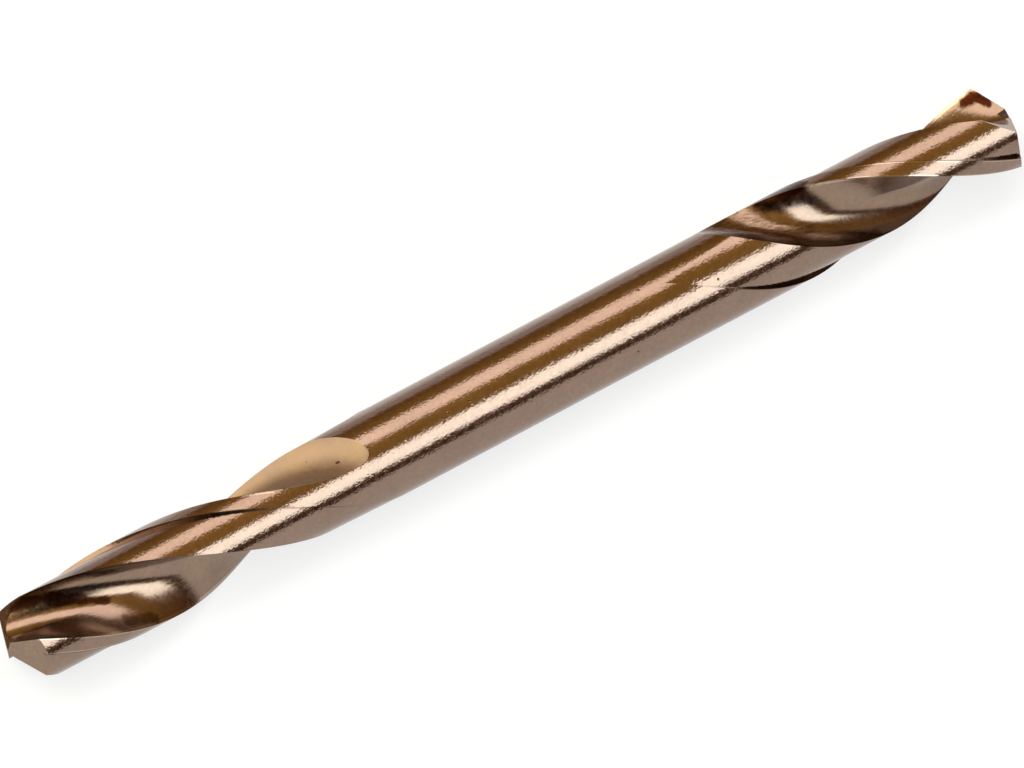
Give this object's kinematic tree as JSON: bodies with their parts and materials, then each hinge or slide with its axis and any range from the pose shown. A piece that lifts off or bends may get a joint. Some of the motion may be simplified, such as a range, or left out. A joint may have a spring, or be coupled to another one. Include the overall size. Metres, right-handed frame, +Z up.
{
  "type": "double-ended drill bit",
  "caption": "Short twist drill ground the same at both ends, with helical flutes, margins and split points either side of a plain cylindrical shank.",
  "frame": {"origin": "on the drill's axis at the middle of its length, halfway between the two chisel edges", "axes": "+X along the axis from one chisel edge to the other, +Z up as it lies, +Y completes a right-handed frame"},
  "size_m": [0.062, 0.0048, 0.0048],
  "materials": {
    "tool_steel": "ground high-speed steel tempered to a gold-brown bronze colour, semi-gloss"
  },
  "bodies": {
    "root": {"drill_bit": "tool_steel"}
  },
  "joints": []
}
